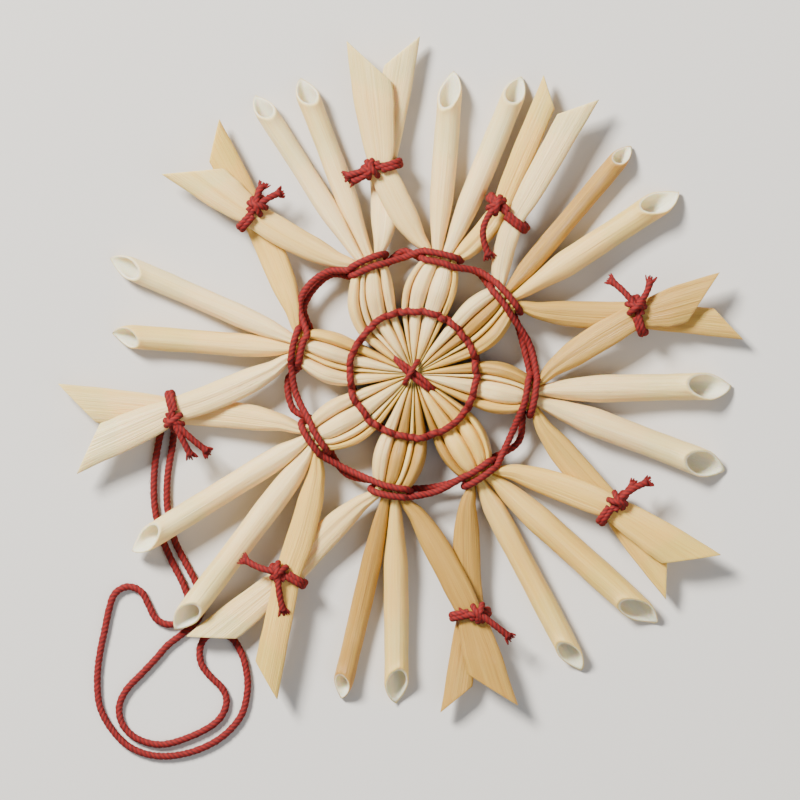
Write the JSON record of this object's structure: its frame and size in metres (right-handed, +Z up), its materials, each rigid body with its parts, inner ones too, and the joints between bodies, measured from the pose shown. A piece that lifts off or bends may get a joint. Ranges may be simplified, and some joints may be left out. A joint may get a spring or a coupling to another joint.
{
  "type": "straw star ornament",
  "caption": "Flat star of whole pale straws crossed at the middle and tied with red thread, with a thread hanging loop.",
  "frame": {"origin": "on the surface the star lies on, under the middle of the star's outline without its hanging loop", "axes": "+Z up through the star's thickness, face up; +X towards the right-hand straws and -Y towards the side where the hanging loop ends"},
  "size_m": [0.0812, 0.086, 0.0055],
  "materials": {
    "straw": "dry satin plant stem",
    "thread": "matt twisted cotton"
  },
  "bodies": {
    "root": {"tube_straw_1": "straw", "tube_straw_2": "straw", "tube_straw_3": "straw", "tube_straw_4": "straw", "tube_straw_5": "straw", "tube_straw_6": "straw", "tube_straw_7": "straw", "tube_straw_8": "straw", "crossed_straw_1": "straw", "crossed_straw_2": "straw", "crossed_straw_3": "straw", "crossed_straw_4": "straw", "crossed_straw_5": "straw", "crossed_straw_6": "straw", "crossed_straw_7": "straw", "crossed_straw_8": "straw", "waist_stitch": "thread", "inner_ring_thread": "thread", "outer_ring_thread": "thread", "point_tie_1": "thread", "point_tie_2": "thread", "point_tie_3": "thread", "point_tie_4": "thread", "point_tie_5": "thread", "point_tie_6": "thread", "point_tie_7": "thread", "point_tie_8": "thread", "hanging_loop": "thread"}
  },
  "joints": []
}
